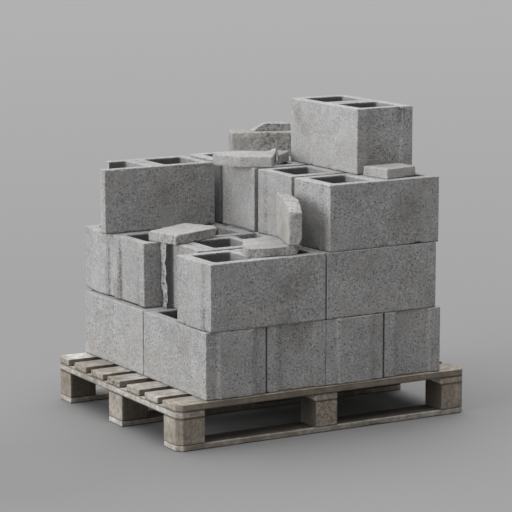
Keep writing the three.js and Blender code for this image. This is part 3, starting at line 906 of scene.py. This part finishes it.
def slab_piece(name, corner, outline, z0, thick, wander, seed, tone, pitted, chip=9, horn=None):
    """A broken slab lying flat: rings from the middle of its underside out to the outline, up the
    broken side and back in over the top. P = middle + share (outline - middle), plus wander times
    noise on the side, with both rims chipped. The outline, and horn, where the top rises to a
    small point, are in block widths from a block's corner."""
    corner = np.array(corner)
    rim = densify(corner + np.array(outline) * WIDTH, 4.5)
    middle = rim.mean(0)
    low = np.array([0, .25, .5, .72, .86, .93, .97, .99])
    up = np.unique(np.r_[stations(thick, 5) / thick, .05, .12, .88, .95])
    share_out = np.r_[low, np.ones(len(up)), low[::-1]]
    rows = len(share_out)
    level = np.r_[0 * low, up, 0 * low + 1]
    plan = middle + share_out[None, :, None] * (rim - middle)[:, None]
    z = np.broadcast_to(level * thick, plan.shape[:2])
    points = np.concatenate([plan, z[..., None]], 2).reshape(-1, 3)
    faces = sweep_faces(len(rim), rows, close_rows=False)
    reach = np.linalg.norm(rim - middle, axis=1)
    out = np.repeat((rim - middle) / reach[:, None], rows, axis=0)
    out = np.c_[out, np.zeros(len(out))]
    inside = np.repeat(reach, rows) * (1 - np.tile(share_out, len(rim)))
    points, faces, (out, inside) = weld(points, faces, (out, inside))
    sides = [(thick - points[:, 2], UP), (points[:, 2], -UP), (inside, out)]
    seeded = points + 37.0 * seed
    edges = [(0, 2, 1.5, chip, .27, seed), (1, 2, 1.8, chip, .27, seed + 1)]
    move, depth = wear_down(seeded, sides, edges)
    snapped = 1 - step_between(0.5, 7, inside)
    new = points + move
    ragged = 1.6 * rough(seeded, 24, seed + 2, 3) + 0.8 * rough(seeded, 9, seed + 4)
    new += out * (wander * ragged * snapped)[:, None]
    new += rough_vector(seeded, 6, seed + 3) * (0.2 + 1.1 * snapped)[:, None]
    new[:, 2] = np.clip(new[:, 2], 0.05, thick + 0.2) + z0
    if horn:
        near = np.linalg.norm(new[:, :2] - (corner + np.array(horn) * WIDTH), axis=1)
        upper = step_between(z0 + thick * 0.5, z0 + thick, new[:, 2])
        new[:, 2] += 9 * step_between(34, 0, near) * upper
    # broken sides facing along Y get more pits and, in the material, painted shade
    pits = snapped * pitted * (0.1 + 0.9 * np.abs(out[:, 1]))
    make_loose(name, new, faces, np.clip(depth / 4, 0, 1) + 0.3 * snapped, pits, tone)


def make_loose(name, points, faces, wear, snapped, tone):
    marks = {"wear": wear, "dirt_and_shade": 0.0, "inside": 0.0, "snapped": snapped, "tone": tone,
             "smear": smear(name, points)}
    make_piece(name, points, faces, CONCRETE_BROKEN, marks)


def hull_planes(corners):
    """Face planes of the corners' convex hull: every triple whose plane has all the rest inside."""
    triples = np.array(list(itertools.combinations(range(len(corners)), 3)))
    a, b, c = (corners[column] for column in triples.T)
    normal = np.cross(b - a, c - a)
    length = np.linalg.norm(normal, axis=1)
    ok = length > 1
    normal, a = normal[ok] / length[ok, None], a[ok]
    side = corners @ normal.T - np.einsum("ij,ij->i", normal, a)
    low, high = side.min(0), side.max(0)
    flip = np.where(high < 0.02, 1, np.where(low > -0.02, -1, 0))
    good = flip != 0
    normal = normal[good] * flip[good, None]
    offset = np.einsum("ij,ij->i", normal, a[good])
    return np.unique(np.round(np.c_[normal, offset], 3), axis=0)


def lump_piece(name, corner, shape, z0, wander, seed, tone, pitted):
    """An angular broken lump. A ray u from its middle at each (longitude, latitude) meets the face
    planes n.x = h; its length is the least h / (n.u), eased between planes, plus noise. The faces
    along X are smooth, moulded ones. shape is its corners in block widths from a block's corner."""
    corners = np.array(shape, float) * WIDTH + np.r_[np.array(corner, float), 0]
    middle = (corners.min(0) + corners.max(0)) / 2
    size = (corners.max(0) - corners.min(0)) / 2
    planes = hull_planes(corners - middle)
    lon = np.arange(150) / 150 * 2 * math.pi
    lat = np.linspace(-math.pi / 2, math.pi / 2, 76)
    lo, la = np.meshgrid(lon, lat, indexing="ij")
    ray = np.stack([np.cos(la) * np.cos(lo), np.cos(la) * np.sin(lo), np.sin(la)], -1)
    ray = ray.reshape(-1, 3) * size
    hit = (ray @ planes[:, :3].T) / np.maximum(planes[:, 3], 1e-6)
    sharp = 75.0  # how tightly the faces' meeting lines are eased
    most = hit.max(1)
    eased = most + np.log(np.exp((hit - most[:, None]) * sharp).sum(1)) / sharp
    points = ray / eased[:, None]
    moulded = step_between(0.6, 0.9, np.abs(planes[hit.argmax(1), 0]))
    faces = sweep_faces(len(lon), len(lat), close_rows=False)
    points, faces, (ray, moulded) = weld(points, faces, (ray, moulded))
    out = ray / np.linalg.norm(ray, axis=1, keepdims=True)
    seeded = points + 53.0 * seed
    points = points + out * (wander * rough(seeded, 26, seed, 3))[:, None]
    points += rough_vector(seeded, 6, seed + 3) * 0.6
    points = points + middle
    points[:, 2] = np.maximum(points[:, 2], 0.05) + z0
    make_loose(name, points, faces, 0.25 * (1 - moulded), pitted * (1 - 0.85 * moulded), tone)


def add_loose_pieces():
    two, three = (PALLET_TOP + course * PITCH + SEAT for course in (2, 3))
    front, half, third, back, top = (-389, -395), (-384, 31), (16, 58), (10, 264), (16, -388)
    slab_piece("piece_flat_on_half_block", half, [(.35, -.375), (.87, -.185), (1.235, -.025),
               (1.31, .175), (1.04, .635), (.195, .205)],
               two, thick=30, wander=2.5, seed=1, tone=0.9, pitted=0.75)
    slab_piece("piece_flat_front", front, [(.755, .28), (.955, .175), (1.495, .11), (1.745, .47),
               (1.765, .81), (1.485, 1.09), (1.145, 1.07), (.92, .675)],
               two, FLAT_THICK, wander=2.5, seed=2, tone=-0.3, pitted=0.6)
    slab_piece("piece_slab_on_third", third, [(-.38, .635), (-.155, .175), (.25, -.125),
               (.67, .465), (.12, .875)],
               three, thick=34, wander=1.2, seed=4, tone=0.8, pitted=0.1, chip=4, horn=(.67, .465))
    slab_piece("piece_wedge", third, [(.495, .105), (.89, .47), (.96, .57), (.82, .69), (.72, .5)],
               three, thick=30, wander=1.0, seed=7, tone=-0.8, pitted=0.5, chip=5)
    slab_piece("piece_rough_back", back, [(.44, .4), (.9, .14), (1.38, -.1), (1.6, .3),
               (1.15, .56), (.62, .8)],
               three, ROUGH_THICK, wander=2.4, seed=5, tone=0.5, pitted=0.8, chip=11)
    slab_piece("piece_on_block_by_top", top, [(.98, .63), (1.065, .11), (1.655, .25), (1.655, .69)],
               three, thick=30, wander=1.2, seed=8, tone=0.9, pitted=0.2, chip=4)
    lump_piece("piece_upright", front, [(1.38, .135, 0), (1.52, .085, 0), (1.865, 1.035, 0),
               (1.725, 1.085, 0), (1.57, .065, .11), (1.915, 1.015, .11), (1.38, .135, .5),
               (1.57, .065, .49), (1.53, .545, .65), (1.675, .35, .64), (1.725, 1.085, .66),
               (1.915, 1.015, .63)],
               two + FLAT_THICK + SEAT, wander=2.0, seed=6, tone=0.4, pitted=0.5)
    lump_piece("piece_curved_on_rough", back, [(.83, .38, 0), (1.42, .2, 0), (1.5, .5, 0),
               (1.05, .56, 0), (.78, .46, 0), (1, .335, .115), (1.42, .21, .11), (1.48, .48, .11),
               (1.12, .52, .12), (.89, .415, .07)],
               three + ROUGH_THICK + SEAT, wander=0.8, seed=9, tone=1.5, pitted=0.9)


add_loose_pieces()


# ---- pallet ----
# how silvered a piece of wood is, brown at 0, silver at 1 and bleached beyond
WOOD_TONES = {
    "deck_board_7": 1.8, "deck_board_6": 0.3, "deck_board_5": 0.95, "deck_board_4": 0.95,
    "deck_board_3": 0.75, "deck_board_2": 1.1, "deck_board_1": 0.4, "stringer_left": 1.25,
    "runner_back": 1.6, "runner_middle": 2.2, "runner_front": 1.5, "foot_front_middle": 0.7,
    "foot_front_left": 0.6, "foot_back_left": 0.15,
}
# how much speckled end grain shows
END_GRAIN = {
    "deck_board_7": 0.8, "deck_board_6": 0.75, "deck_board_5": 0.7, "deck_board_4": 0.9,
    "deck_board_2": 0.1, "deck_board_1": 0.0, "foot_front_middle": 0.8,
}


def sheltered(name, points, sides):
    """How much painted shade each point gets: sides that face along Y, more so under the deck and
    in its gaps, the X sides of feet away from the pallet's ends, the tops of the front and middle
    runners, and a black seam where a piece meets the next one up or down."""
    from_end = PALLET[0] / 2 - np.abs(points[:, 0])
    inset = np.minimum(from_end, PALLET[1] / 2 - np.abs(points[:, 1]))
    across = np.minimum(sides[2][0], sides[3][0]) < 0.5
    lengthwise = np.minimum(sides[0][0], sides[1][0]) < 0.5
    low, high = sides[4][0], sides[5][0]
    # a black seam of painted shade where a piece meets the next one up or down
    seam = step_between(3.6, 1.6, np.minimum(low, high)) * (across | lengthwise)
    if name.startswith("foot"):
        painted_shade = step_between(0, 9, inset) * np.where(across, 0.75, 0.35)
        painted_shade += step_between(60, 130, inset) * 0.3
        painted_shade += lengthwise * step_between(40, 90, from_end) * 1.4
    elif name.startswith("deck"):
        shade = 0.26 + 0.30 * step_between(0, 10, inset) + 0.14 * step_between(10, 50, inset)
        painted_shade = across * shade
        seam *= np.where(low < high, 1, 0.5 * across * step_between(30, 60, from_end))
    else:
        painted_shade = across * 0.25 * step_between(0, 30, inset) + 0.3 * step_between(100, 200, inset)
        seam *= low < high if name.startswith("runner") else 1.0
        if name in ("runner_front", "runner_middle"):
            painted_shade += (high < 0.5) * step_between(0, 14, inset) + 0.15 * across * (high > 0.5)
    return np.clip(painted_shade + 0.95 * seam, 0, 1)


def wood_piece(node_name, number):
    """A worn board or foot. P = a point on the grid lines of its CAD box, moved in across worn,
    chipped edges drawn out along the grain, plus slow and fine noise, and kept inside the box.
    The pallet's four corners are cut across as in the CAD."""
    low, high = (np.array(v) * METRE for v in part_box(node_name))
    size = high - low
    grain = int(np.argmax(size)) if size.max() > 2 * sorted(size)[1] else 2
    lines = []
    for axis in range(3):
        places = stations(size[axis], 14 if axis == grain else 9, True, True)
        if axis < 2:
            places = np.unique(np.r_[places, CORNER_CUT, size[axis] - CORNER_CUT])
        lines.append(low[axis] + places)
    points, faces = box_skin(*lines)
    sides = []
    for axis, normal in enumerate(np.eye(3)):
        sides += [(points[:, axis] - low[axis], -normal), (high[axis] - points[:, axis], normal)]
    stretch = np.ones(3)
    stretch[grain] = 0.3
    seeded = points * stretch + 71.0 * number
    pairs = [(a, b) for a in range(6) for b in range(a + 1, 6) if a // 2 != b // 2]
    edges = [(a, b, 1.3, 5, .38, 900 + number * 20 + k) for k, (a, b) in enumerate(pairs)]
    move, depth = wear_down(seeded, sides, edges)
    for a, b in itertools.product((0, 1), (2, 3)):
        corner = np.abs([(low, high)[a][0], (low, high)[b - 2][1]])
        if np.allclose(corner, np.array(PALLET) / 2, atol=0.5):
            cut = np.clip(CORNER_CUT - sides[a][0] - sides[b][0], 0, None)
            move -= (sides[a][1] + sides[b][1]) / 2 * cut[:, None]
    new = points + move + rough_vector(seeded, 40, 700 + number) * (0.35, 0.35, 0.25)
    new += rough_vector(seeded, 7, 800 + number) * 0.18
    new = np.clip(new, low - 0.1, high + 0.1)
    new[:, 2] = np.clip(new[:, 2], low[2] + 0.02, high[2] - 0.02)
    foot = node_name.startswith("foot")
    axis = 1 if foot else grain
    ends = np.minimum(sides[2 * axis][0], sides[2 * axis + 1][0]) < 0.5
    marks = {"wear": np.clip(depth / 3, 0, 1), "end": ends * END_GRAIN.get(node_name, 0.35),
             "tone": WOOD_TONES.get(node_name, 0.35 + 0.3 * ((number * 0.618) % 1)),
             "inside": sheltered(node_name, points, sides), "smear": smear(node_name, new)}
    make_piece(node_name, new, faces, (WOOD_X, WOOD_Y, WOOD_Z)[grain], marks)


def add_pallet():
    kinds = ("deck_board", "foot", "stringer", "runner")
    for number, name in enumerate(sorted(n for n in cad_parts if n.startswith(kinds))):
        wood_piece(name, number)


add_pallet()


# ---- stage ----
def make_floor():
    """A grey floor with painted shade and light: a little darker within a metre of a spot left of
    the pallet's front, and lighter far off.
    """
    mesh = bpy.data.meshes.new("floor")
    far = 60
    shade_spot = (-0.95, -0.35, 0)
    corners = [(-far, -far, 0), (far, -far, 0), (far, far, 0), (-far, far, 0)]
    mesh.from_pydata(corners, [], [(0, 1, 2, 3)])
    material, _, shader, place = new_material("floor")
    away = node("VectorMath", {0: place, 1: shade_spot}, operation="DISTANCE").outputs["Value"]
    reach = math_node("LOGARITHM", away, 10.0)
    # painted shade near the pallet, painted light far off
    colour = mix(ramp(reach, -0.6, 0.0), grey(0.203), grey(0.234))
    colour = mix(ramp(reach, 0.45, 1.25), colour, grey(0.270))
    set_inputs(shader, {"Base Color": colour, "Roughness": 0.8})
    mesh.materials.append(material)
    link(bpy.data.objects.new("floor", mesh))


def make_light(name, azimuth, elevation, spread, strength):
    """A far soft light, by its direction in degrees from +X round to +Y and up, and its width."""
    data = bpy.data.lights.new(name, "SUN")
    data.angle, data.energy = math.radians(spread), strength
    az, el = math.radians(azimuth), math.radians(elevation)
    place = Vector((math.cos(az) * math.cos(el), math.sin(az) * math.cos(el), math.sin(el))) * 6
    aim(link(bpy.data.objects.new(name, data)), place, (0, 0, 0))


def make_studio():
    make_floor()
    make_light("key", azimuth=177, elevation=9, spread=43, strength=2.6)
    make_light("overhead", azimuth=90, elevation=77, spread=85, strength=3.3)
    world = bpy.data.worlds.new("studio")
    world.use_nodes = True
    back = world.node_tree.nodes["Background"]
    set_inputs(back, {"Color": (1, 1, 1, 1), "Strength": 0.26})
    bpy.context.scene.world = world
    bpy.context.scene.view_settings.view_transform = "Standard"


make_studio()
